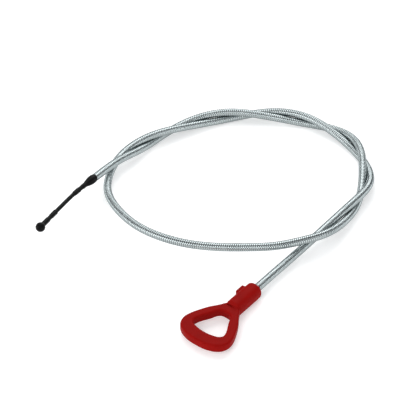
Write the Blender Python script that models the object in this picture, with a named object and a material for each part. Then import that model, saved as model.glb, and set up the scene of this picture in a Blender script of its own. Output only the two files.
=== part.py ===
"""Flexible fluid-level dipstick, coiled and lying on a table.

A moulded finger-loop handle grips one end of a close-wound spring shaft.  The
shaft lies in a little over one and a half laps, the two laps twisted round each
other, and carries a moulded gauge tip with raised level marks on its far end.

Units are metres, +Z is up, and the table top is the plane z = 0.
"""
import math

import bmesh
import bpy
import numpy as np
from mathutils import Matrix, Vector

MM = 0.001

# ------------------------------------------------------------ driving dimensions
# (millimetres)
GAP = 0.3                    # clearance between neighbouring pieces

SHAFT_OD = 6.4               # outside of the spring
SPRING_WIRE = 1.58           # wire of the spring
SHAFT_BORE = SHAFT_OD - 2 * SPRING_WIRE
SHAFT_SIDES = 12
SHAFT_STEP = 10.8            # spacing of the tube's points
END_STEP = 2.5               # short first and last step, so end faces meet squarely

# Origin of the part, in the plan coordinates of the lay below
DATUM = (-45.255, -70.655)

# The lay of the shaft.  It leaves the barrel straight, runs counter-clockwise
# round an irregular oval for a little over one and a half laps, and ends in a
# rising tail that carries the gauge tip.  Where two laps lie together they are
# twisted round each other like the strands of a rope, changing places at each
# crossing.  Bearings are degrees from +X about the middle of the oval.
MOUTH = (34.7, -101.4, 6.3)  # barrel's mouth, on the axis of the handle
LEAD_HEADING = 51.3
LEAD_STRAIGHT = 56.0
OVAL_CENTRE = (25.0, 27.3)
OVAL_RADII = (101.5, 104.5, 95.5, 87.0, 84.5, 90.0,
              105.0, 102.0, 95.0, 90.0, 95.0, 94.0)     # every 30 degrees
CROSSINGS = (-61.0, -17.5, 18.0, 53.0, 94.0, 143.0, 175.0)
TWIST_SIDE = (3.35, 3.35, 3.35, 3.35, 3.35, 3.7)   # half the spread between crossings
TWIST_RISE = 3.55            # half the height between two laps that cross
REST_HEIGHT = SHAFT_OD / 2 + TWIST_RISE + 0.05          # middle of the pair
PAIR_HEIGHT = ((-60.0, 11.3), (-30.0, 9.5), (0.0, 7.3), (30.0, REST_HEIGHT),
               (130.0, REST_HEIGHT), (150.0, 8.3), (175.0, 11.0))
FRONT_HEIGHT = ((190.0, 8.2), (215.0, 10.6), (250.0, 13.5), (285.0, 14.3))
LAY_STEP = 10.0              # about how many degrees between computed points
FIRST_LAP = (-30.0, 175.0)   # twisted stretch of each lap
FRONT_RUN = (190.0, 285.0)
SECOND_LAP = (-60.0, 155.0)
TAIL_HEADING = -125.3        # where the second lap leaves the oval
TAIL_TURN = 9.4              # how far the tail bends on near the tip's collar
TAIL_BEND = (0.4, 0.75)      # where it does so, as shares of its length
TAIL_LENGTH = 137.2
TAIL_CROSSING = 27.0         # along the tail, where it passes over the first lap
TAIL_OVER = 14.4             # its height there
TAIL_TOP = 25.1              # height of the ball's centre
TAIL_POINTS = 5

# Lengths along the shaft, counted from the mouth of the barrel
SOCKET_INNER = -21.4         # inner end of the shaft in the handle
HANDLE_STUB = 3.0            # end of the stiff stub outside the barrel
LIFT_FLEX = (3.0, 29.0)      # bends when the handle is lifted
SWING_FLEX = (34.0, 58.0)    # bends when the handle is swung sideways
COIL = (58.0, 1012.0)
COIL_PIECES = 4
TIP_LIFT_FLEX = (1012.0, 1040.0)
TIP_SWING_FLEX = (1069.0, 1085.0)
TIP_RIM = 1091.3             # where the shaft meets the tip's collar

# Handle, along its axis from the mouth of the barrel
BARREL_MOUTH = -0.7          # its rim, a little in front of the point counted from
BARREL_R = 6.3
BARREL_POWER = 2.6           # section a rounded square; 2 would be a circle
BARREL_SHOULDER = 25.9       # start of the sloping face down towards the loop
BARREL_FOOT = (27.2, 4.6)    # end of that face, and its height above the axis
BARREL_END = 27.6
BARREL_MOUTH_ROUND = 1.5
SOCKET_DEPTH = 22.0
LOOP_THICKNESS = 7.2
LOOP_EDGE_ROUND = 1.4
LOOP_OUTER = [(25.5, 5.4), (30.0, 8.5), (35.9, 12.7), (43.1, 16.8), (50.3, 20.0),
              (57.5, 21.3), (64.0, 18.9), (68.2, 12.7), (69.9, 6.3), (70.2, 0.0)]
LOOP_HOLE = [(34.8, 0.0), (35.0, 2.9), (36.2, 4.9), (41.0, 7.5), (47.1, 10.8),
             (52.2, 13.0), (55.0, 13.3), (57.2, 11.8), (58.7, 8.2), (59.5, 4.1),
             (59.7, 0.0)]
LUG_LENGTH = (4.7, 13.1)
LUG_REACH = 8.2              # from the barrel's axis
LUG_LEVEL = (-1.0, 4.0)      # bottom and top, the top running into the barrel's
GROOVE_LENGTH = (27.2, 28.4)   # shallow groove at the foot of the sloping face
GROOVE_SIDE = (-4.4, 2.5)    # deep at the lug's side, running out across the barrel
GROOVE_DEPTH = (1.0, 0.05)

# Gauge tip: distance from the collar's rim, radius, and how far the ring leans
# along the axis from its upper to its lower side
TIP_PROFILE = [
    (0.0, 2.75, 0.0), (0.5, 2.95, 0.0), (1.5, 3.12, 0.0), (3.2, 3.26, 0.0),
    (5.0, 3.2, 0.0), (7.0, 2.95, 0.0), (9.0, 2.53, 0.0), (10.6, 2.15, -0.1),
    (11.6, 1.84, -0.2), (13.0, 1.75, 0.0), (16.2, 1.75, 0.0), (17.4, 1.5, 0.0),
    (20.1, 1.5, 0.2), (20.8, 1.8, 0.2), (27.2, 1.76, -0.3), (28.2, 1.4, -0.3),
    (30.0, 1.34, 0.0), (54.6, 1.34, 0.0), (55.6, 1.77, 0.0), (62.4, 1.73, -0.3),
    (63.4, 1.48, -0.3), (66.2, 1.5, 0.0), (67.2, 1.79, 0.0), (74.5, 1.79, 0.0),
]
TIP_SIDES = 16
TIP_BALL_R = 3.35
TIP_SPIGOT = (6.0, 1.3)      # length and radius, inside the spring

STEEL = (0.62, 0.64, 0.66, 1.0)
RED = (0.36, 0.012, 0.014, 1.0)
BLACK = (0.012, 0.012, 0.013, 1.0)


# ------------------------------------------------------------------- curve maths
def cubic(points, closed=False):
    """Smooth curve through points: chord lengths and a function of length."""
    p = np.asarray(points, float)
    if closed:
        p = np.vstack([p, p[:1]])
    n = len(p)
    u = np.concatenate([[0.0], np.cumsum(np.linalg.norm(np.diff(p, axis=0), axis=1))])
    h = np.diff(u)
    a = np.zeros((n, n))
    r = np.zeros_like(p)
    for i in range(1, n - 1):
        a[i, i - 1], a[i, i], a[i, i + 1] = h[i - 1], 2 * (h[i - 1] + h[i]), h[i]
        r[i] = 6 * ((p[i + 1] - p[i]) / h[i] - (p[i] - p[i - 1]) / h[i - 1])
    if closed:
        a[0, 0], a[0, -1] = 1, -1
        a[-1, 0], a[-1, 1] = 2 * h[0], h[0]
        a[-1, -1], a[-1, -2] = 2 * h[-1], h[-1]
        r[-1] = 6 * ((p[1] - p[0]) / h[0] - (p[-1] - p[-2]) / h[-1])
    else:
        a[0, 0] = a[-1, -1] = 1
    m = np.linalg.solve(a, r)

    def at(x):
        x = np.atleast_1d(np.asarray(x, float))
        i = np.clip(np.searchsorted(u, x) - 1, 0, n - 2)
        lo, hi, w = (u[i + 1] - x)[:, None], (x - u[i])[:, None], h[i][:, None]
        return (m[i] * lo ** 3 + m[i + 1] * hi ** 3) / (6 * w) \
            + (p[i] / w - m[i] * w / 6) * lo + (p[i + 1] / w - m[i + 1] * w / 6) * hi

    return u, at


def bearings(span):
    """Evenly spaced bearings over a span, about LAY_STEP apart."""
    n = round((span[1] - span[0]) / LAY_STEP)
    return [span[0] + (span[1] - span[0]) * i / n for i in range(n + 1)]


def table(pairs, b):
    return float(np.interp(b, [p[0] for p in pairs], [p[1] for p in pairs]))


def oval_radius(b):
    """Radius of the oval at a bearing, smooth between the given radii."""
    n = len(OVAL_RADII)
    k, f = divmod(b * n / 360.0, 1.0)
    a, p, q, d = (OVAL_RADII[(int(k) + i) % n] for i in (-1, 0, 1, 2))
    return p + 0.5 * f * (q - a + f * (2 * a - 5 * p + 4 * q - d + f * (3 * (p - q) + d - a)))


def on_oval(b, r, z):
    a = math.radians(b)
    return (OVAL_CENTRE[0] + r * math.cos(a), OVAL_CENTRE[1] + r * math.sin(a), z)


def twisted(b, sign):
    """Point of one strand of the twisted pair; the second lap has sign +1."""
    k = float(np.interp(b, CROSSINGS, range(len(CROSSINGS))))
    side = TWIST_SIDE[min(int(k), len(TWIST_SIDE) - 1)]
    return on_oval(b, oval_radius(b) + sign * side * math.sin(math.pi * k),
                   table(PAIR_HEIGHT, b) + sign * TWIST_RISE * math.cos(math.pi * k))


def lay():
    """Points on the centre line: socket, lead, first lap, front, second lap, tail."""
    x, y, z = MOUTH
    c, s = math.cos(math.radians(LEAD_HEADING)), math.sin(math.radians(LEAD_HEADING))
    pts = [(x + c * d, y + s * d, z)
           for d in (-SOCKET_DEPTH, 0.0, LEAD_STRAIGHT / 2, LEAD_STRAIGHT)]
    pts += [twisted(b, -1) for b in bearings(FIRST_LAP)]
    pts += [on_oval(b, oval_radius(b), table(FRONT_HEIGHT, b)) for b in bearings(FRONT_RUN)]
    pts += [twisted(b, +1) for b in bearings(SECOND_LAP)]
    x, y, z = pts[-1]
    climb = ((0.0, z), (TAIL_CROSSING, TAIL_OVER), (TAIL_LENGTH, TAIL_TOP))
    step = TAIL_LENGTH / TAIL_POINTS
    for k in range(TAIL_POINTS):
        bend = float(np.interp((k + 0.5) / TAIL_POINTS, TAIL_BEND, (0.0, 1.0)))
        a = math.radians(TAIL_HEADING + TAIL_TURN * bend)
        x, y = x + step * math.cos(a), y + step * math.sin(a)
        pts.append((x, y, table(climb, step * (k + 1))))
    return pts


class Route:
    """The shaft's centre line, measured in millimetres from the barrel's mouth."""

    def __init__(self, points):
        u, at = cubic([(x - DATUM[0], y - DATUM[1], z) for x, y, z in points])
        x = np.linspace(0.0, u[-1], 6000)
        self.p = at(x)
        s = np.concatenate([[0.0], np.cumsum(np.linalg.norm(np.diff(self.p, axis=0), axis=1))])
        self.s = s - np.interp(u[1], x, s)
        self.length = float(self.s[-1])

    def point(self, s):
        return Vector([float(np.interp(s, self.s, self.p[:, k])) for k in range(3)])

    def tangent(self, s):
        return (self.point(s + 0.4) - self.point(s - 0.4)).normalized()

    def frame(self, s):
        """Right, up and forward directions at a distance along the shaft."""
        t = self.tangent(s)
        right = t.cross(Vector((0, 0, 1))).normalized()
        return right, right.cross(t), t


# ------------------------------------------------------------------ scene helpers
def clear():
    for ob in list(bpy.data.objects):
        bpy.data.objects.remove(ob, do_unlink=True)


def material(name, colour, roughness, metallic):
    mat = bpy.data.materials.new(name)
    mat.use_nodes = True
    bsdf = mat.node_tree.nodes["Principled BSDF"]
    bsdf.inputs["Base Color"].default_value = colour
    bsdf.inputs["Roughness"].default_value = roughness
    bsdf.inputs["Metallic"].default_value = metallic
    mat.diffuse_color = colour
    return mat


def add(name, data, mat, matrix=None):
    ob = bpy.data.objects.new(name, data)
    bpy.context.scene.collection.objects.link(ob)
    if mat:
        data.materials.append(mat)
    if matrix is not None:
        ob.matrix_world = matrix
    return ob


def mesh_from(bm, name, smooth_deg=None):
    bmesh.ops.recalc_face_normals(bm, faces=bm.faces[:])
    me = bpy.data.meshes.new(name)
    bm.to_mesh(me)
    bm.free()
    if smooth_deg is not None:
        me.shade_smooth()
        me.set_sharp_from_angle(angle=math.radians(smooth_deg))
    return me


def guide(ob):
    ob.hide_render = True
    ob.display_type = "WIRE"
    return ob


def loft(bm, rings, cap_first=True, cap_last=True):
    """Skin a list of rings, each a list of points, into one closed shell."""
    loops = [[bm.verts.new(co) for co in ring] for ring in rings]
    n = len(loops[0])
    for a, b in zip(loops, loops[1:]):
        for i in range(n):
            j = (i + 1) % n
            bm.faces.new((a[i], a[j], b[j], b[i]))
    if cap_first:
        bm.faces.new(list(reversed(loops[0])))
    if cap_last:
        bm.faces.new(loops[-1])


# --------------------------------------------------------------------- the shaft
def shaft_points(s0, s1):
    """Stations of a tube: a short step at each end, even steps between."""
    a, b = s0 + END_STEP, s1 - END_STEP
    if b - a < SHAFT_STEP * 0.6:
        return [s0, s1]
    n = max(1, round((b - a) / SHAFT_STEP))
    return [s0] + [a + (b - a) * i / n for i in range(n + 1)] + [s1]


def shaft_tube(name, route, s0, s1, mat, origin):
    """A plain tube from s0 to s1, its own origin at the given point."""
    cu = bpy.data.curves.new(name, "CURVE")
    cu.dimensions = "3D"
    cu.twist_mode = "MINIMUM"
    cu.bevel_depth = SHAFT_OD / 2 * MM
    cu.bevel_resolution = SHAFT_SIDES // 2 - 2
    cu.use_fill_caps = True
    stations = shaft_points(s0 + GAP / 2, s1 - GAP / 2)
    sp = cu.splines.new("POLY")
    sp.points.add(len(stations) - 1)
    for pt, s in zip(sp.points, stations):
        pt.co = (*((route.point(s) - origin) * MM), 1.0)
    sp.use_smooth = True
    ob = add(name, cu, mat)
    ob.location = origin * MM
    return ob


def shaft_sleeve(name, route, s0, s1, mat, origin):
    """The spring's last turns at the tip, open inside for the tip's spigot."""
    bm = bmesh.new()
    rings = []
    for s, r in ((s0 + GAP / 2, SHAFT_OD / 2), (s1 - GAP / 2, SHAFT_OD / 2),
                 (s1 - GAP / 2, SHAFT_BORE / 2), (s0 + GAP / 2, SHAFT_BORE / 2)):
        right, up, _ = route.frame(s)
        c = route.point(s) - origin
        rings.append([(c + r * (math.cos(a) * right + math.sin(a) * up)) * MM
                      for a in (2 * math.pi * k / SHAFT_SIDES for k in range(SHAFT_SIDES))])
    loft(bm, rings + rings[:1], False, False)
    bmesh.ops.remove_doubles(bm, verts=bm.verts[:], dist=1e-7)
    ob = add(name, mesh_from(bm, name, 40), mat)
    ob.location = origin * MM
    return ob


# -------------------------------------------------------------------- the handle
def outline(half, step):
    """Closed smooth outline, mirrored about the handle's axis."""
    mirrored = [(x, -y) for x, y in reversed(half) if y > 1e-6]
    pts = half + mirrored
    u, at = cubic(pts, closed=True)
    n = max(24, round(u[-1] / step))
    return [Vector((x, y)) for x, y in at(np.linspace(0, u[-1], n + 1)[:-1])]


def prism(bm, pts, z0, z1):
    lo = [bm.verts.new((p.x * MM, p.y * MM, z0 * MM)) for p in pts]
    hi = [bm.verts.new((p.x * MM, p.y * MM, z1 * MM)) for p in pts]
    n = len(pts)
    for i in range(n):
        j = (i + 1) % n
        bm.faces.new((lo[i], lo[j], hi[j], hi[i]))
    bm.faces.new(list(reversed(lo)))
    bm.faces.new(hi)


def superellipse(a, b, power, count):
    out = []
    for k in range(count):
        t = 2 * math.pi * k / count
        c, s = math.cos(t), math.sin(t)
        out.append((a * math.copysign(abs(c) ** (2 / power), c),
                    b * math.copysign(abs(s) ** (2 / power), s)))
    return out


def make_handle(frame, offset, mat):
    """Loop plate, barrel and lug in one moulding, with the socket for the shaft.

    frame places the handle's axis; offset is how far the barrel's mouth lies
    along that axis from the frame's origin.
    """
    # loop: outline less hole, extruded, with softly rounded edges
    bm = bmesh.new()
    half = LOOP_THICKNESS / 2
    shift = Vector((offset, 0))
    prism(bm, [p + shift for p in outline(LOOP_OUTER, 2.2)], -half, half)
    loop = add("handle", mesh_from(bm, "handle"), mat, frame)
    bm = bmesh.new()
    prism(bm, [p + shift for p in outline(LOOP_HOLE, 1.8)], -half - 4, half + 4)
    hole = guide(add("handle_hole_cutter", mesh_from(bm, "handle_hole_cutter"), None, frame))
    cut = loop.modifiers.new("hole", "BOOLEAN")
    cut.operation, cut.object, cut.solver = "DIFFERENCE", hole, "EXACT"
    bev = loop.modifiers.new("edge_round", "BEVEL")
    bev.width, bev.segments = LOOP_EDGE_ROUND * MM, 3
    bev.limit_method, bev.angle_limit = "ANGLE", math.radians(50)

    # barrel: a rounded square with a rounded mouth, sloping down to the loop
    bm = bmesh.new()
    rings = []
    r = BARREL_MOUTH_ROUND
    stations = [(BARREL_MOUTH + r * (1 - math.cos(a)), BARREL_R - r * (1 - math.sin(a)))
                for a in (math.radians(d) for d in (0, 30, 60, 90))]
    stations += [(x, BARREL_R) for x in (8.0, 15.0, 21.0, BARREL_SHOULDER - 0.5)]
    stations += [(BARREL_SHOULDER, BARREL_R - 0.15)]
    for x, rad in stations:
        rings.append([((offset + x) * MM, y * MM, z * MM)
                      for y, z in superellipse(rad, rad, min(BARREL_POWER, 2.25 + 0.1 * max(0.0, x)), 40)])
    for x, wide, high in ((BARREL_FOOT[0], 5.4, BARREL_FOOT[1]), (BARREL_END, 5.1, half - 0.3),
                          (BARREL_END + 0.8, 4.6, half - 0.9)):
        rings.append([((offset + x) * MM, y * MM, z * MM)
                      for y, z in superellipse(wide, high, BARREL_POWER, 40)])
    loft(bm, rings)
    barrel = guide(add("handle_barrel_body", mesh_from(bm, "handle_barrel_body"), None, frame))

    # lug on the side of the barrel
    bm = bmesh.new()
    x0, x1 = (offset + v for v in LUG_LENGTH)
    prism(bm, [Vector(p) for p in ((x0, -LUG_REACH), (x1, -LUG_REACH), (x1, -3.6), (x0, -3.6))],
          *LUG_LEVEL)
    lug = guide(add("handle_lug_body", mesh_from(bm, "handle_lug_body"), None, frame))
    bev = lug.modifiers.new("edge_round", "BEVEL")
    bev.width, bev.segments = 0.6 * MM, 2

    # groove at the foot of the sloping face
    bm = bmesh.new()
    x0, x1 = (offset + v for v in GROOVE_LENGTH)
    loft(bm, [[(x * MM, y * MM, z * MM) for x, z in
               ((x0, half - d), (x1, half - d), (x1, half + 1.2), (x0, half + 1.2))]
              for y, d in zip(GROOVE_SIDE, GROOVE_DEPTH)])
    groove = guide(add("handle_groove_cutter", mesh_from(bm, "handle_groove_cutter"), None, frame))

    # socket
    bm = bmesh.new()
    rad = SHAFT_OD / 2 + GAP
    loft(bm, [[((offset + x) * MM, rad * math.cos(a) * MM, rad * math.sin(a) * MM)
               for a in (2 * math.pi * k / 24 for k in range(24))] for x in (-3.0, SOCKET_DEPTH)])
    bore = guide(add("handle_socket_cutter", mesh_from(bm, "handle_socket_cutter"), None, frame))

    for name, op, ob in (("barrel", "UNION", barrel), ("lug", "UNION", lug),
                         ("groove", "DIFFERENCE", groove), ("socket", "DIFFERENCE", bore)):
        mod = loop.modifiers.new(name, "BOOLEAN")
        mod.operation, mod.object, mod.solver = op, ob, "EXACT"
    return loop


# ----------------------------------------------------------------- the gauge tip
def make_tip(route, origin, mat):
    """Collar, slim rod with raised level marks, and ball, round the tip's line."""
    bm = bmesh.new()
    ball = route.length - TIP_RIM
    length, radius = TIP_SPIGOT
    profile = [(-length, radius - 0.25, 0.0), (-length + 0.25, radius, 0.0), (0.0, radius, 0.0)]
    profile += TIP_PROFILE
    neck = profile[-1][1]
    a0 = math.asin(neck / TIP_BALL_R)
    for k in range(0, 8):
        a = math.pi - a0 - (math.pi - a0) * k / 8
        profile.append((ball + TIP_BALL_R * math.cos(a), TIP_BALL_R * math.sin(a), 0.0))
    rings = []
    for x, rad, lean in profile:
        s = TIP_RIM + x
        right, up, t = route.frame(min(s, route.length - 1.0))
        c = route.point(min(s, route.length)) + t * max(0.0, s - route.length) - origin
        ring = []
        for k in range(TIP_SIDES):
            a = 2 * math.pi * k / TIP_SIDES
            ring.append((c + rad * (math.cos(a) * right + math.sin(a) * up)
                         - t * (lean * math.sin(a))) * MM)
        rings.append(ring)
    loft(bm, rings)
    ob = add("gauge_tip", mesh_from(bm, "gauge_tip", 50), mat)
    ob.location = origin * MM
    return ob


# ---------------------------------------------------------------------- assembly
def main():
    clear()
    route = Route(lay())
    steel = material("zinc_plated_spring_steel", STEEL, 0.28, 1.0)
    red = material("red_moulded_plastic", RED, 0.42, 0.0)
    black = material("black_moulded_plastic", BLACK, 0.45, 0.0)

    # points that the moving ends turn about
    lift = route.point(sum(LIFT_FLEX) / 2)
    swing = route.point(sum(SWING_FLEX) / 2)
    tip_lift = route.point(sum(TIP_LIFT_FLEX) / 2)
    tip_swing = route.point(sum(TIP_SWING_FLEX) / 2)
    coil_start = route.point(COIL[0])

    # handle: its axis runs from the barrel's mouth into the socket
    axis = (route.point(SOCKET_INNER) - route.point(0.0)).normalized()
    side = Vector((0, 0, 1)).cross(axis).normalized()
    up = axis.cross(side)
    offset = (route.point(0.0) - lift).dot(axis)
    base = route.point(0.0) - axis * offset
    frame = Matrix((axis, side, up)).transposed().to_4x4()
    frame.translation = base * MM
    make_handle(frame, offset, red)

    shaft_tube("shaft_handle_end", route, SOCKET_INNER, HANDLE_STUB, steel, lift)
    shaft_tube("shaft_handle_lift_flex", route, *LIFT_FLEX, steel, lift)
    shaft_tube("shaft_handle_lead", route, LIFT_FLEX[1], SWING_FLEX[0], steel, swing)
    shaft_tube("shaft_handle_swing_flex", route, *SWING_FLEX, steel, swing)
    for k in range(COIL_PIECES):
        s0, s1 = (COIL[0] + (COIL[1] - COIL[0]) * j / COIL_PIECES for j in (k, k + 1))
        shaft_tube("shaft_coil_%d" % (k + 1), route, s0, s1, steel, coil_start)
    shaft_tube("shaft_tip_lift_flex", route, *TIP_LIFT_FLEX, steel, tip_lift)
    shaft_tube("shaft_tip_lead", route, TIP_LIFT_FLEX[1], TIP_SWING_FLEX[0], steel, tip_lift)
    shaft_tube("shaft_tip_swing_flex", route, *TIP_SWING_FLEX, steel, tip_swing)
    shaft_sleeve("shaft_tip_end", route, TIP_SWING_FLEX[1], TIP_RIM - GAP / 2, steel, tip_swing)
    make_tip(route, tip_swing, black)
    return route


main()
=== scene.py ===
"""Looks of the flexible dipstick: wound spring wire, moulded handle and gauge tip.

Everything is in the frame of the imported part: metres, +Z up, table top at z = 0.
"""
import math

import bmesh
import bpy
import numpy as np
from mathutils import Matrix, Vector


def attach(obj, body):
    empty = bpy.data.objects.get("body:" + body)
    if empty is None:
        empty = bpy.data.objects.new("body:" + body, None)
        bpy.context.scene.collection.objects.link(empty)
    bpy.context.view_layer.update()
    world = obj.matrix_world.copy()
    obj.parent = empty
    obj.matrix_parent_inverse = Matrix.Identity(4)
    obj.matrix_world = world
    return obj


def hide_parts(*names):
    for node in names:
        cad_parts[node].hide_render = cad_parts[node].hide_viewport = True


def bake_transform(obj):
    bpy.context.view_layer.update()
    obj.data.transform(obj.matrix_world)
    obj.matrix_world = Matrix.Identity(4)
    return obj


MM = 0.001

# ------------------------------------------------------------------ shaft's route
# (millimetres, as in the part's own source)
SHAFT_OD = 6.4
SPRING_WIRE = 1.58
SOCKET_DEPTH = 22.0
DATUM = (-45.255, -70.655)
MOUTH = (34.7, -101.4, 6.3)
LEAD_HEADING = 51.3
LEAD_STRAIGHT = 56.0
OVAL_CENTRE = (25.0, 27.3)
OVAL_RADII = (101.5, 104.5, 95.5, 87.0, 84.5, 90.0,
              105.0, 102.0, 95.0, 90.0, 95.0, 94.0)
CROSSINGS = (-61.0, -17.5, 18.0, 53.0, 94.0, 143.0, 175.0)
TWIST_SIDE = (3.2, 3.2, 3.2, 3.2, 3.2, 3.4)
TWIST_RISE = 3.2
REST_HEIGHT = SHAFT_OD / 2 + TWIST_RISE + 0.3
PAIR_HEIGHT = ((-60.0, 11.3), (-30.0, 9.5), (0.0, 7.3), (30.0, REST_HEIGHT),
               (130.0, REST_HEIGHT), (150.0, 8.3), (175.0, 11.0))
FRONT_HEIGHT = ((190.0, 8.2), (215.0, 10.6), (250.0, 13.5), (285.0, 14.3))
LAY_STEP = 10.0
FIRST_LAP = (-30.0, 175.0)
FRONT_RUN = (190.0, 285.0)
SECOND_LAP = (-60.0, 155.0)
TAIL_HEADING = -125.1
TAIL_TURN = 9.4
TAIL_BEND = (0.4, 0.75)
TAIL_LENGTH = 137.2
TAIL_CROSSING = 27.0
TAIL_OVER = 14.4
TAIL_TOP = 25.1
TAIL_POINTS = 5

SOCKET_INNER = -21.4
LIFT_FLEX = (3.0, 29.0)
SWING_FLEX = (34.0, 58.0)
COIL = (58.0, 1010.6)
TIP_LIFT_FLEX = (1010.6, 1038.6)
TIP_SWING_FLEX = (1067.6, 1083.6)
TIP_RIM = 1089.9

# ------------------------------------------------------------- handle, millimetres
BARREL_MOUTH = -0.7
BARREL_R = 6.3
BARREL_POWER = 2.6
BARREL_SHOULDER = 25.9
BARREL_FOOT = (27.2, 4.6)
BARREL_END = 27.6
BARREL_MOUTH_ROUND = 1.9
LOOP_THICKNESS = 7.2
LOOP_EDGE_ROUND = 1.7
LOOP_OUTER = [(25.5, 5.4), (30.0, 8.5), (35.9, 12.7), (43.1, 16.8), (50.3, 20.0),
              (57.5, 21.3), (64.0, 18.9), (68.2, 12.7), (69.9, 6.3), (70.2, 0.0)]
LOOP_HOLE = [(34.8, 0.0), (35.0, 2.9), (36.2, 4.9), (41.0, 7.5), (47.1, 10.8),
             (52.2, 13.0), (55.0, 13.3), (57.2, 11.8), (58.7, 8.2), (59.5, 4.1),
             (59.7, 0.0)]
LUG_LENGTH = (4.7, 13.1)
LUG_REACH = 8.2
LUG_LEVEL = (-1.0, 4.0)
GROOVE_LENGTH = (27.2, 28.4)
GROOVE_SIDE = (-4.4, 2.5)
GROOVE_DEPTH = (1.4, 0.05)

# ---------------------------------------------------------- gauge tip, millimetres
# distance from the collar's rim, radius, lean of the ring along the axis
TIP_PROFILE = [
    (0.0, 2.75, 0.0), (0.5, 2.95, 0.0), (1.5, 3.12, 0.0), (3.2, 3.26, 0.0),
    (5.0, 3.2, 0.0), (7.0, 2.95, 0.0), (9.0, 2.53, 0.0), (10.6, 2.15, -0.1),
    (11.6, 1.84, -0.2), (13.0, 1.75, 0.0), (16.2, 1.75, 0.0), (17.4, 1.5, 0.0),
    (20.1, 1.5, 0.2), (20.8, 1.8, 0.2), (27.2, 1.76, -0.3), (28.2, 1.4, -0.3),
    (30.0, 1.34, 0.0), (54.6, 1.34, 0.0), (55.6, 1.77, 0.0), (62.4, 1.73, -0.3),
    (63.4, 1.48, -0.3), (66.2, 1.5, 0.0), (67.2, 1.79, 0.0), (74.5, 1.79, 0.0),
]
TIP_BALL_R = 3.75
TIP_FULLER = 0.28                          # drawn this much fuller than the profile
TIP_SPIGOT = (6.0, 1.3)

# ------------------------------------------------------------------- spring's wire
COIL_R = (SHAFT_OD - SPRING_WIRE) / 2      # helix of the wire's middle
TURN_STEPS = 20                            # stations in one turn
SECTION = (0, 28, 50, 68, 90, 135, 180, 225, 270, 292, 310, 332)   # section angles, outside = 0
WIRE_POWER = 4.5                           # drawn a little flat; 2 would be round
MAP_ROWS = 32                              # rows of the wire on its texture map


# ---------------------------------------------------------------------- route maths
def cubic(points, closed=False):
    p = np.asarray(points, float)
    if closed:
        p = np.vstack([p, p[:1]])
    n = len(p)
    u = np.concatenate([[0.0], np.cumsum(np.linalg.norm(np.diff(p, axis=0), axis=1))])
    h = np.diff(u)
    a = np.zeros((n, n))
    r = np.zeros_like(p)
    for i in range(1, n - 1):
        a[i, i - 1], a[i, i], a[i, i + 1] = h[i - 1], 2 * (h[i - 1] + h[i]), h[i]
        r[i] = 6 * ((p[i + 1] - p[i]) / h[i] - (p[i] - p[i - 1]) / h[i - 1])
    if closed:
        a[0, 0], a[0, -1] = 1, -1
        a[-1, 0], a[-1, 1] = 2 * h[0], h[0]
        a[-1, -1], a[-1, -2] = 2 * h[-1], h[-1]
        r[-1] = 6 * ((p[1] - p[0]) / h[0] - (p[-1] - p[-2]) / h[-1])
    else:
        a[0, 0] = a[-1, -1] = 1
    m = np.linalg.solve(a, r)

    def at(x):
        x = np.atleast_1d(np.asarray(x, float))
        i = np.clip(np.searchsorted(u, x) - 1, 0, n - 2)
        lo, hi, w = (u[i + 1] - x)[:, None], (x - u[i])[:, None], h[i][:, None]
        return (m[i] * lo ** 3 + m[i + 1] * hi ** 3) / (6 * w) \
            + (p[i] / w - m[i] * w / 6) * lo + (p[i + 1] / w - m[i + 1] * w / 6) * hi

    return u, at


def bearings(span):
    n = round((span[1] - span[0]) / LAY_STEP)
    return [span[0] + (span[1] - span[0]) * i / n for i in range(n + 1)]


def table(pairs, b):
    return float(np.interp(b, [p[0] for p in pairs], [p[1] for p in pairs]))


def oval_radius(b):
    n = len(OVAL_RADII)
    k, f = divmod(b * n / 360.0, 1.0)
    a, p, q, d = (OVAL_RADII[(int(k) + i) % n] for i in (-1, 0, 1, 2))
    return p + 0.5 * f * (q - a + f * (2 * a - 5 * p + 4 * q - d + f * (3 * (p - q) + d - a)))


def on_oval(b, r, z):
    a = math.radians(b)
    return (OVAL_CENTRE[0] + r * math.cos(a), OVAL_CENTRE[1] + r * math.sin(a), z)


def twisted(b, sign):
    k = float(np.interp(b, CROSSINGS, range(len(CROSSINGS))))
    side = TWIST_SIDE[min(int(k), len(TWIST_SIDE) - 1)]
    return on_oval(b, oval_radius(b) + sign * side * math.sin(math.pi * k),
                   table(PAIR_HEIGHT, b) + sign * TWIST_RISE * math.cos(math.pi * k))


def lay():
    x, y, z = MOUTH
    c, s = math.cos(math.radians(LEAD_HEADING)), math.sin(math.radians(LEAD_HEADING))
    pts = [(x + c * d, y + s * d, z)
           for d in (-SOCKET_DEPTH, 0.0, LEAD_STRAIGHT / 2, LEAD_STRAIGHT)]
    pts += [twisted(b, -1) for b in bearings(FIRST_LAP)]
    pts += [on_oval(b, oval_radius(b), table(FRONT_HEIGHT, b)) for b in bearings(FRONT_RUN)]
    pts += [twisted(b, +1) for b in bearings(SECOND_LAP)]
    x, y, z = pts[-1]
    climb = ((0.0, z), (TAIL_CROSSING, TAIL_OVER), (TAIL_LENGTH, TAIL_TOP))
    step = TAIL_LENGTH / TAIL_POINTS
    for k in range(TAIL_POINTS):
        bend = float(np.interp((k + 0.5) / TAIL_POINTS, TAIL_BEND, (0.0, 1.0)))
        a = math.radians(TAIL_HEADING + TAIL_TURN * bend)
        x, y = x + step * math.cos(a), y + step * math.sin(a)
        pts.append((x, y, table(climb, step * (k + 1))))
    return pts


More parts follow.
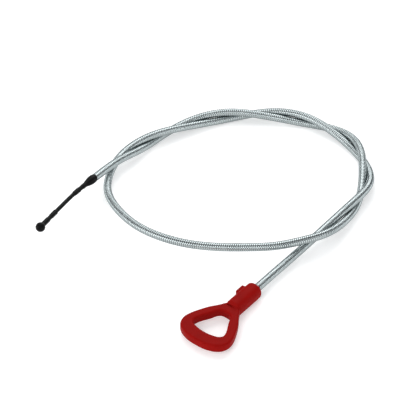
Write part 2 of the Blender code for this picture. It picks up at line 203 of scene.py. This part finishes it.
class Route:
    """Centre line of the shaft, in millimetres from the barrel's mouth."""

    def __init__(self, points):
        u, at = cubic([(x - DATUM[0], y - DATUM[1], z) for x, y, z in points])
        x = np.linspace(0.0, u[-1], 6000)
        self.p = at(x)
        s = np.concatenate([[0.0], np.cumsum(np.linalg.norm(np.diff(self.p, axis=0), axis=1))])
        self.s = s - np.interp(u[1], x, s)
        self.length = float(self.s[-1])
        # turns touch on the inside of a bend and open on its outside
        t = np.gradient(self.p, self.s, axis=0)
        k = np.linalg.norm(np.gradient(t, self.s, axis=0), axis=1)
        k = np.convolve(np.pad(k, 12, mode="edge"), np.full(25, 1 / 25), "valid")
        pitch = SPRING_WIRE * 1.012 / (1 - COIL_R * np.clip(k, 0, 0.05))
        turn = np.concatenate([[0.0], np.cumsum(np.diff(self.s) * 2 / (pitch[1:] + pitch[:-1]))])
        self.turn = turn - np.interp(0.0, self.s, turn)

    def points(self, s):
        return np.stack([np.interp(s, self.s, self.p[:, k]) for k in range(3)], axis=-1)

    def point(self, s):
        return Vector(self.points(s))

    def place(self, s):
        """A point of the centre line in metres."""
        return tuple(float(v) * MM for v in self.points(s))

    def frames(self, s):
        """Middle, right, up and forward at each distance along the shaft."""
        s = np.atleast_1d(np.asarray(s, float))
        t = self.points(np.minimum(s + 0.4, self.length)) - self.points(s - 0.4)
        t /= np.linalg.norm(t, axis=1)[:, None]
        right = np.cross(t, (0.0, 0.0, 1.0))
        right /= np.linalg.norm(right, axis=1)[:, None]
        return self.points(s), right, np.cross(right, t), t


# -------------------------------------------------------------------- mesh helpers
def link(name, me, mat):
    ob = bpy.data.objects.new(name, me)
    bpy.context.scene.collection.objects.link(ob)
    me.materials.append(mat)
    return ob


def mesh_of(name, verts, faces):
    me = bpy.data.meshes.new(name)
    me.from_pydata([tuple(v) for v in verts], [], faces)
    me.validate()
    me.update()
    me.shade_smooth()
    return me


def evaluated(ob, name):
    """A mesh of the object as its modifiers leave it."""
    dg = bpy.context.evaluated_depsgraph_get()
    dg.update()
    return bpy.data.meshes.new_from_object(ob.evaluated_get(dg))


def bm_mesh(bm, name):
    bmesh.ops.recalc_face_normals(bm, faces=bm.faces[:])
    me = bpy.data.meshes.new(name)
    bm.to_mesh(me)
    bm.free()
    return me


def loft(bm, rings):
    loops = [[bm.verts.new(co) for co in ring] for ring in rings]
    n = len(loops[0])
    for a, b in zip(loops, loops[1:]):
        for i in range(n):
            j = (i + 1) % n
            bm.faces.new((a[i], a[j], b[j], b[i]))
    bm.faces.new(list(reversed(loops[0])))
    bm.faces.new(loops[-1])


def prism(bm, pts, z0, z1):
    loft(bm, [[(x, y, z) for x, y in pts] for z in (z0, z1)])


# ---------------------------------------------------------------------- the spring
def spring(name, route, s0, s1, mat):
    """Wound wire from s0 to s1, one closed body, with its own texture map."""
    t0, t1 = (float(np.interp(s, route.s, route.turn)) for s in (s0, s1))
    n = int(round((t1 - t0) * TURN_STEPS))
    turn = np.linspace(t0, t1, n + 1)
    s = np.interp(turn, route.turn, route.s)
    mid, right, up, t = route.frames(s)
    a = 2 * math.pi * turn
    radial = np.cos(a)[:, None] * right + np.sin(a)[:, None] * up
    centre = mid + COIL_R * radial
    along = np.gradient(centre, axis=0)
    along /= np.linalg.norm(along, axis=1)[:, None]
    out = radial - along * (radial * along).sum(1)[:, None]
    out /= np.linalg.norm(out, axis=1)[:, None]
    side = np.cross(along, out)
    phi = np.radians(SECTION)
    m = len(phi)
    flat = [np.sign(v) * np.abs(v) ** (2 / WIRE_POWER) for v in (np.cos(phi), np.sin(phi))]
    ring = flat[0][None, :, None] * out[:, None] + flat[1][None, :, None] * side[:, None]
    verts = ((centre[:, None] + SPRING_WIRE / 2 * ring) * MM).reshape(-1, 3)

    k, j = np.meshgrid(np.arange(n), np.arange(m), indexing="ij")
    j1 = (j + 1) % m
    quads = np.stack([k * m + j, k * m + j1, (k + 1) * m + j1, (k + 1) * m + j], axis=-1)
    quads = quads.reshape(-1, 4)
    caps = [list(range(m - 1, -1, -1)), [n * m + i for i in range(m)]]

    me = bpy.data.meshes.new(name)
    me.vertices.add(len(verts))
    me.vertices.foreach_set("co", verts.astype(np.float32).ravel())
    loops = np.concatenate([quads.ravel(), np.array(caps).ravel()])
    me.loops.add(len(loops))
    me.loops.foreach_set("vertex_index", loops.astype(np.int32))
    sizes = np.concatenate([np.full(len(quads), 4), np.full(2, m)])
    me.polygons.add(len(sizes))
    me.polygons.foreach_set("loop_start", (np.cumsum(sizes) - sizes).astype(np.int32))
    me.update(calc_edges=True)
    me.validate()
    me.shade_smooth()

    # how far round each point lies from the outside towards the groove between turns
    groove = me.attributes.new("groove", "FLOAT", "POINT")
    groove.data.foreach_set("value", np.tile((1 - flat[0]) / 2, n + 1).astype(np.float32))

    # texture map: the wire laid out straight, in rows
    per_row = math.ceil(n / MAP_ROWS)
    row = (k // per_row).ravel()
    x = (k % per_row).ravel()
    arc = np.append(phi, 2 * math.pi) / (2 * math.pi)
    lo, hi = arc[j].ravel(), arc[j + 1].ravel()
    u = np.stack([x, x, x + 1, x + 1], axis=-1) / per_row
    v = (row[:, None] + 0.03 + 0.94 * np.stack([lo, hi, hi, lo], axis=-1)) / MAP_ROWS
    uv = np.stack([0.002 + 0.996 * u, v], axis=-1).reshape(-1, 2)
    cap = np.tile(np.stack([0.001 + 0.001 * np.cos(phi), 0.5 + 0.001 * np.sin(phi)], axis=-1), (2, 1))
    layer = me.uv_layers.new(name="OFBake")
    layer.uv.foreach_set("vector", np.concatenate([uv, cap]).astype(np.float32).ravel())
    return link(name, me, mat)


def add_spring(route, steel):
    """The shaft in stretches: one for each bending end and the resting coil between."""
    cut = (31.0, 71.0, 381.0, 693.0, 1004.0, 1050.6)
    end = TIP_RIM - 0.3
    p = route.place
    plan = (
        ("shaft_spring_handle_end", SOCKET_INNER, cut[0], ("lead", "grip", p(LIFT_FLEX[1]), p(LIFT_FLEX[0])),
         ("shaft_handle_end", "shaft_handle_lift_flex")),
        ("shaft_spring_lead", cut[0], cut[1], ("coil", "lead", p(SWING_FLEX[1]), p(SWING_FLEX[0])),
         ("shaft_handle_lead", "shaft_handle_swing_flex")),
        ("shaft_spring_coil_1", cut[1], cut[2], "coil", ("shaft_coil_1",)),
        ("shaft_spring_coil_2", cut[2], cut[3], "coil", ("shaft_coil_2", "shaft_coil_3")),
        ("shaft_spring_coil_3", cut[3], cut[4], "coil", ("shaft_coil_4",)),
        ("shaft_spring_tail", cut[4], cut[5], ("coil", "tip_lead", p(TIP_LIFT_FLEX[0]), p(TIP_LIFT_FLEX[1])),
         ("shaft_tip_lift_flex", "shaft_tip_lead")),
        ("shaft_spring_tip_end", cut[5], end, ("tip_lead", "tip", p(TIP_SWING_FLEX[0]), p(TIP_SWING_FLEX[1])),
         ("shaft_tip_swing_flex", "shaft_tip_end")),
    )
    for name, s0, s1, how, nodes in plan:
        ob = spring(name, route, s0, s1, steel)
        if isinstance(how, str):
            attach(ob, how)
        else:
            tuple(how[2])
            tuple(how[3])
            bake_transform(ob)
        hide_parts(*nodes)
        line = np.linspace(s0, s1, max(8, round((s1 - s0) / 2.0)))
        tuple(p(max(0.0, s0)))
        [p(x) for x in line]


# ---------------------------------------------------------------------- the handle
def outline(half, step):
    mirrored = [(x, -y) for x, y in reversed(half) if y > 1e-6]
    u, at = cubic(half + mirrored, closed=True)
    n = round(u[-1] / step)
    return [(float(x), float(y)) for x, y in at(np.linspace(0, u[-1], n + 1)[:-1])]


def superellipse(a, b, power, count):
    out = []
    for k in range(count):
        t = 2 * math.pi * k / count
        c, s = math.cos(t), math.sin(t)
        out.append((a * math.copysign(abs(c) ** (2 / power), c),
                    b * math.copysign(abs(s) ** (2 / power), s)))
    return out


def scratch(name, me):
    ob = bpy.data.objects.new(name, me)
    bpy.context.scene.collection.objects.link(ob)
    return ob


def handle(route, mat):
    """The moulding is put together in millimetres on its own axis, then placed."""
    half = LOOP_THICKNESS / 2
    made = []

    bm = bmesh.new()
    prism(bm, outline(LOOP_OUTER, 0.9), -half, half)
    loop = scratch("loop", bm_mesh(bm, "loop"))
    bm = bmesh.new()
    prism(bm, outline(LOOP_HOLE, 0.8), -half - 4, half + 4)
    hole = scratch("hole", bm_mesh(bm, "hole"))
    cut = loop.modifiers.new("hole", "BOOLEAN")
    cut.operation, cut.object, cut.solver = "DIFFERENCE", hole, "EXACT"
    bev = loop.modifiers.new("edge", "BEVEL")
    bev.width, bev.segments = LOOP_EDGE_ROUND, 6
    bev.limit_method, bev.angle_limit = "ANGLE", math.radians(50)

    bm = bmesh.new()
    r = BARREL_MOUTH_ROUND
    stations = [(BARREL_MOUTH + r * (1 - math.cos(a)), BARREL_R - r * (1 - math.sin(a)))
                for a in (math.radians(d) for d in range(0, 91, 10))]
    stations += [(x, BARREL_R) for x in (5.0, 8.0, 12.0, 15.0, 18.0, 21.0, 23.0, BARREL_SHOULDER - 0.5)]
    stations += [(BARREL_SHOULDER, BARREL_R - 0.15)]
    rings = []
    for x, rad in stations:
        rings.append([(x, y, z) for y, z in superellipse(rad, rad, min(BARREL_POWER, 2.25 + 0.1 * max(0.0, x)), 96)])
    for x, wide, high in ((BARREL_FOOT[0], 5.4, BARREL_FOOT[1]), (BARREL_END, 5.1, half - 0.3),
                          (BARREL_END + 0.8, 4.6, half - 0.9)):
        rings.append([(x, y, z) for y, z in superellipse(wide, high, BARREL_POWER, 96)])
    loft(bm, rings)
    barrel = scratch("barrel", bm_mesh(bm, "barrel"))

    bm = bmesh.new()
    x0, x1 = LUG_LENGTH
    prism(bm, ((x0, -LUG_REACH), (x1, -LUG_REACH), (x1, -3.6), (x0, -3.6)),
          *LUG_LEVEL)
    lug = scratch("lug", bm_mesh(bm, "lug"))
    bev = lug.modifiers.new("edge", "BEVEL")
    bev.width, bev.segments = 0.7, 4

    bm = bmesh.new()
    x0, x1 = GROOVE_LENGTH
    loft(bm, [[(x, y, z) for x, z in
               ((x0, half - d), (x1, half - d), (x1, half + 1.2), (x0, half + 1.2))]
              for y, d in zip(GROOVE_SIDE, GROOVE_DEPTH)])
    groove = scratch("groove", bm_mesh(bm, "groove"))

    bm = bmesh.new()
    rad = SHAFT_OD / 2 + 0.3
    loft(bm, [[(x, rr * math.cos(a), rr * math.sin(a))
               for a in (2 * math.pi * k / 64 for k in range(64))]
              for x, rr in ((-3.0, rad + 0.5), (BARREL_MOUTH, rad + 0.5), (BARREL_MOUTH + 0.6, rad),
                            (SOCKET_DEPTH, rad))])
    bore = scratch("bore", bm_mesh(bm, "bore"))

    for name, op, ob in (("barrel", "UNION", barrel), ("lug", "UNION", lug),
                         ("groove", "DIFFERENCE", groove), ("socket", "DIFFERENCE", bore)):
        mod = loop.modifiers.new(name, "BOOLEAN")
        mod.operation, mod.object, mod.solver = op, ob, "EXACT"
    skin = loop.modifiers.new("skin", "REMESH")
    skin.mode, skin.voxel_size, skin.adaptivity = "VOXEL", 0.25, 0.0
    soft = loop.modifiers.new("soft", "SMOOTH")
    soft.factor, soft.iterations = 0.5, 3

    me = evaluated(loop, "handle_moulding")
    for ob in (loop, hole, barrel, lug, groove, bore):
        data = ob.data
        bpy.data.objects.remove(ob, do_unlink=True)
        bpy.data.meshes.remove(data)

    mouth = route.point(0.0)
    axis = (route.point(SOCKET_INNER) - mouth).normalized()
    side = Vector((0, 0, 1)).cross(axis).normalized()
    up = axis.cross(side)
    turn = Matrix((axis, side, up)).transposed().to_4x4()
    me.transform(Matrix.Translation(mouth * MM) @ turn @ Matrix.Scale(MM, 4))
    me.name = "handle_moulding"
    me.materials.clear()
    me.shade_smooth()
    ob = link("handle_moulding", me, mat)
    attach(ob, "grip")
    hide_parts("handle")
    return ob


# ------------------------------------------------------------------- the gauge tip
def gauge_tip(route, mat):
    ball = route.length - TIP_RIM
    length, radius = TIP_SPIGOT
    x = np.array([p[0] for p in TIP_PROFILE])
    r = np.array([p[1] for p in TIP_PROFILE]) + TIP_FULLER
    lean = np.array([p[2] for p in TIP_PROFILE])
    fine = np.arange(-2.0, 78.0, 0.05)
    soft = np.interp(fine, x, r)
    width = 5
    soft = np.convolve(np.pad(soft, width // 2, mode="edge"), np.full(width, 1 / width), "valid")
    neck = float(r[-1])
    touch = ball - math.sqrt(TIP_BALL_R ** 2 - neck ** 2)

    sides = 40
    a = 2 * np.pi * np.arange(sides) / sides
    # faint parting line of the mould on both sides
    ridge = 0.05 * np.exp(-((np.abs(np.sin(a)) / 0.10) ** 2))

    stations = [(-length, radius - 0.25, 0), (-length + 0.25, radius, 0), (-0.02, radius, 0)]
    stations += [(0.0, rr, 0) for rr in (2.0, 2.5)]
    stations += [(0.06, 2.66, 0), (0.2, 2.78, 0)]
    stations += [(q, None, 1) for q in np.arange(0.4, touch - 0.3, 0.2)]
    a0 = math.asin(neck / TIP_BALL_R)
    for q in np.linspace(math.pi - a0 - 0.06, 0.04, 26):
        rr = TIP_BALL_R * math.sin(q)
        stations.append((ball + TIP_BALL_R * math.cos(q), rr, 0))
    verts = []
    for q, rr, kind in stations:
        s = TIP_RIM + q
        c, right, up, t = (v[0] for v in route.frames(min(s, route.length - 1.0)))
        c = route.points(min(s, route.length)) + t * max(0.0, s - route.length)
        if kind:
            shifted = q + np.interp(q, x, lean) * np.sin(a)
            rad = np.interp(shifted, fine, soft) + ridge
        else:
            rad = np.full(sides, rr)
        verts.append(c + rad[:, None] * (np.cos(a)[:, None] * right + np.sin(a)[:, None] * up))
    verts = np.concatenate(verts) * MM
    n = len(stations)
    faces = [[k * sides + i, k * sides + (i + 1) % sides,
              (k + 1) * sides + (i + 1) % sides, (k + 1) * sides + i]
             for k in range(n - 1) for i in range(sides)]
    faces.append(list(range(sides - 1, -1, -1)))
    faces.append([(n - 1) * sides + i for i in range(sides)])
    me = mesh_of("gauge_tip_moulding", verts, faces)
    me.set_sharp_from_angle(angle=math.radians(50))
    ob = link("gauge_tip_moulding", me, mat)
    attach(ob, "tip")
    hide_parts("gauge_tip")
    return ob


# ----------------------------------------------------------------------- materials
class Nodes:
    """Short ways to add nodes to one material."""

    def __init__(self, name):
        self.mat = bpy.data.materials.new(name)
        self.mat.use_nodes = True
        self.tree = self.mat.node_tree
        self.bsdf = self.tree.nodes["Principled BSDF"]
        self.coord = self.tree.nodes.new("ShaderNodeTexCoord")

    def noise(self, scale, detail=2.0, rough=0.5, stretch=None):
        n = self.tree.nodes.new("ShaderNodeTexNoise")
        n.inputs["Scale"].default_value = scale
        n.inputs["Detail"].default_value = detail
        n.inputs["Roughness"].default_value = rough
        src = self.coord.outputs["Object"]
        if stretch:
            m = self.tree.nodes.new("ShaderNodeMapping")
            m.inputs["Scale"].default_value = stretch
            self.tree.links.new(src, m.inputs["Vector"])
            src = m.outputs["Vector"]
        self.tree.links.new(src, n.inputs["Vector"])
        return n.outputs["Fac"]

    def attribute(self, name):
        n = self.tree.nodes.new("ShaderNodeAttribute")
        n.attribute_name = name
        return n.outputs["Fac"]

    def ramp(self, fac, stops):
        n = self.tree.nodes.new("ShaderNodeValToRGB")
        el = n.color_ramp.elements
        while len(el) < len(stops):
            el.new(0.5)
        for e, (pos, col) in zip(el, stops):
            e.position = pos
            e.color = (*col, 1.0) if len(col) == 3 else col
        self.tree.links.new(fac, n.inputs["Fac"])
        return n.outputs["Color"]

    def span(self, fac, lo, hi, from_lo=0.3, from_hi=0.7):
        n = self.tree.nodes.new("ShaderNodeMapRange")
        for key, v in (("From Min", from_lo), ("From Max", from_hi), ("To Min", lo), ("To Max", hi)):
            n.inputs[key].default_value = v
        self.tree.links.new(fac, n.inputs["Value"])
        return n.outputs["Result"]

    def add(self, a, b):
        n = self.tree.nodes.new("ShaderNodeMath")
        n.operation = "ADD"
        self.tree.links.new(a, n.inputs[0])
        self.tree.links.new(b, n.inputs[1])
        return n.outputs[0]

    def mix(self, fac, a, b, kind="MIX"):
        n = self.tree.nodes.new("ShaderNodeMix")
        n.data_type, n.blend_type = "RGBA", kind
        for key, v in ((0, fac), (6, a), (7, b)):
            if isinstance(v, (int, float)):
                n.inputs[key].default_value = v
            elif isinstance(v, tuple):
                n.inputs[key].default_value = (*v, 1.0)
            else:
                self.tree.links.new(v, n.inputs[key])
        return n.outputs[2]

    def bump(self, height, strength, distance):
        n = self.tree.nodes.new("ShaderNodeBump")
        n.inputs["Strength"].default_value = strength
        n.inputs["Distance"].default_value = distance
        self.tree.links.new(height, n.inputs["Height"])
        self.tree.links.new(n.outputs["Normal"], self.bsdf.inputs["Normal"])

    def set(self, name, value):
        if hasattr(value, "node"):
            self.tree.links.new(value, self.bsdf.inputs[name])
        else:
            self.bsdf.inputs[name].default_value = value


def steel_material():
    n = Nodes("plated_spring_wire")
    broad = n.noise(90.0, 3.0)
    fine = n.noise(1500.0, 3.0, 0.6)
    bright = n.ramp(broad, ((0.3, (0.352, 0.392, 0.396)), (0.7, (0.409, 0.449, 0.453))))
    # painted shade in the grooves between the turns, with some tarnish: the base colour darkens towards the groove
    groove_shade_and_tarnish = n.ramp(n.attribute("groove"), ((0.20, (0.0, 0.0, 0.0)), (0.50, (1.0, 1.0, 1.0))))
    n.set("Metallic", 1.0)
    n.set("Base Color", n.mix(groove_shade_and_tarnish, bright, (0.175, 0.198, 0.202)))
    n.set("Roughness", n.span(fine, 0.12, 0.17))
    n.set("Specular Tint", (0.4, 0.42, 0.43, 1.0))
    return n.mat


def red_material():
    n = Nodes("red_moulded_plastic")
    broad = n.noise(120.0, 3.0)
    grain = n.noise(2600.0, 2.0, 0.6)
    n.set("Base Color", n.ramp(broad, ((0.3, (0.23, 0.0042, 0.0033)), (0.7, (0.258, 0.0048, 0.0038)))))
    n.set("Roughness", n.span(grain, 0.36, 0.50))
    n.set("Specular IOR Level", 0.02)
    n.bump(grain, 0.18, 0.00006)
    return n.mat


def black_material():
    n = Nodes("black_moulded_plastic")
    broad = n.noise(160.0, 3.0)
    grain = n.noise(2600.0, 2.0, 0.6)
    n.set("Base Color", n.ramp(broad, ((0.3, (0.0022, 0.0022, 0.0024)), (0.7, (0.0042, 0.0042, 0.0044)))))
    n.set("Roughness", n.span(grain, 0.28, 0.40))
    n.set("Specular IOR Level", 0.075)
    n.bump(grain, 0.18, 0.00006)
    return n.mat


# ------------------------------------------------------------------ floor and light
def floor():
    n = Nodes("pale_floor")
    n.set("Base Color", (0.76, 0.76, 0.76, 1.0))
    n.set("Roughness", 0.9)
    n.set("Specular IOR Level", 0.0)
    n.set("Emission Color", (1.0, 1.0, 1.0, 1.0))
    n.set("Emission Strength", 0.4)
    bm = bmesh.new()
    bmesh.ops.create_grid(bm, x_segments=1, y_segments=1, size=4.0)
    me = bm_mesh(bm, "floor")
    ob = link("floor", me, n.mat)
    ob.location = (0.0, 0.0, -0.00002)


LIGHT_AIM = Vector((0.05, 0.05, 0.0))
LIGHT_DISTANCE = 1.5


def softbox(name, bearing, height, wide, high, glow, aim=LIGHT_AIM, distance=LIGHT_DISTANCE):
    """A soft light by its bearing (degrees from +X), height and width in degrees, and radiance."""
    a, e = math.radians(bearing), math.radians(height)
    d = Vector((math.cos(a) * math.cos(e), math.sin(a) * math.cos(e), math.sin(e)))
    li = bpy.data.lights.new(name, "AREA")
    li.shape = "RECTANGLE"
    li.size = 2 * distance * math.tan(math.radians(wide) / 2)
    li.size_y = 2 * distance * math.tan(math.radians(high) / 2)
    li.energy = math.pi * li.size * li.size_y * glow
    ob = bpy.data.objects.new(name, li)
    ob.location = aim + d * distance
    ob.rotation_euler = (-d).to_track_quat("-Z", "Y").to_euler()
    bpy.context.scene.collection.objects.link(ob)


def light():
    world = bpy.data.worlds.new("studio")
    world.use_nodes = True
    bg = world.node_tree.nodes["Background"]
    bg.inputs["Color"].default_value = (0.92, 0.96, 1.0, 1.0)
    bg.inputs["Strength"].default_value = 0.27
    bpy.context.scene.world = world
    softbox("softbox_back_right", 72, 36, 42, 28, 3.6)
    softbox("softbox_back_left", 132, 55, 28, 24, 2.4)
    softbox("softbox_top", 90, 89, 38, 38, 2.1, Vector((0.05, 0.26, 0.0)), 0.6)
    softbox("softbox_front", 240, 41, 30, 26, 3.4)
    softbox("softbox_front_right", 318, 58, 25, 22, 0.6)
    softbox("softbox_front_left", 225, 56, 25, 22, 0.6)
    softbox("card_left", 195, 12, 58, 22, 3.8)
    softbox("card_front_right", 300, 12, 29, 22, 4.2)
    softbox("card_right", 2, 10, 32, 18, 2.6)
    softbox("card_back_left", 128, 9, 20, 16, 2.2)


def camera():
    data = bpy.data.cameras.new("camera")
    data.lens, data.sensor_width = 138.46, 36.0
    data.clip_start, data.clip_end = 0.05, 20.0
    ob = bpy.data.objects.new("camera", data)
    ob.location = (0.045255, -0.896365, 0.81143)
    ob.rotation_euler = (math.radians(50.0), 0.0, 0.0)
    bpy.context.scene.collection.objects.link(ob)
    bpy.context.scene.camera = ob


# ------------------------------------------------------------------------- assembly
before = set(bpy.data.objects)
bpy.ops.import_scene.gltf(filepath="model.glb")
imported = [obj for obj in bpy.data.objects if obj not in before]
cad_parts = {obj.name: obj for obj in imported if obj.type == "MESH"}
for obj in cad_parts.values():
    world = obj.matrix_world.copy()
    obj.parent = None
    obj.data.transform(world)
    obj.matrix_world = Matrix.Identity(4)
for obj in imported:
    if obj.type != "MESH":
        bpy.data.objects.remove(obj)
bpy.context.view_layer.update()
view = bpy.context.scene.view_settings
view.view_transform, view.look, view.exposure, view.gamma = "Standard", "None", 0.0, 1.0
# the spring's turns are about two pixels apart, which a prefiltered denoiser would blur away
bpy.context.scene.cycles.denoising_prefilter = "NONE"

route = Route(lay())
camera()
add_spring(route, steel_material())
handle(route, red_material())
gauge_tip(route, black_material())
floor()
light()
